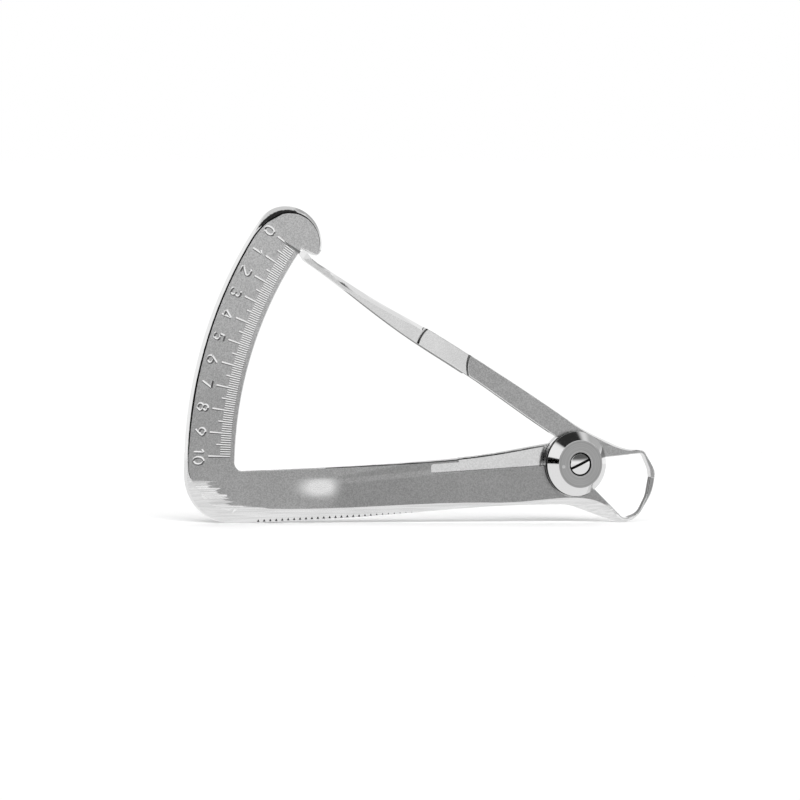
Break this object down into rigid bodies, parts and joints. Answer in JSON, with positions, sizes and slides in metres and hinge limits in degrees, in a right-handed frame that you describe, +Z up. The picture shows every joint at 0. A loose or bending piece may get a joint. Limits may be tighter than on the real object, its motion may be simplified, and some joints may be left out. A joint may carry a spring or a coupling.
{
  "type": "pincer caliper gauge",
  "caption": "Spring-loaded pincer gauge: two flat steel arms on one pivot, needle over an arc scale on one side, curved measuring jaws on the other.",
  "frame": {"origin": "bottom centre of the gauge's bounding box, the gauge standing upright on its lower edge as pictured", "axes": "+X along the gauge's length from scale to jaws, +Y from the graduated front to the back, +Z up, from the grip edge to the head of the scale"},
  "size_m": [0.101, 0.0046, 0.0636],
  "materials": {
    "arm_steel": "satin, polished edges",
    "bright_steel": "turned and polished",
    "bearing_brass": "turned",
    "spring_steel": "rolled strip"
  },
  "bodies": {
    "scale_side": {"scale_arm": "arm_steel", "pivot_post": "bright_steel", "thrust_washer": "bearing_brass", "spring_drum": "bright_steel", "drum_pin": "bright_steel", "torsion_spring": "spring_steel", "pivot_screw": "bright_steel"},
    "pointer_side": {"pointer_arm": "arm_steel", "pivot_bush": "bearing_brass"}
  },
  "joints": [
    {"name": "squeeze", "type": "hinge", "parent": "scale_side", "child": "pointer_side", "pos_m": [0.03258, 0.00131, 0.012], "axis": [0, -1, 0], "range_deg": [0, 33.3], "stiffness_Nm_per_rad": 0.014, "springref_deg": -48.7, "deforming": ["torsion_spring"]}
  ]
}
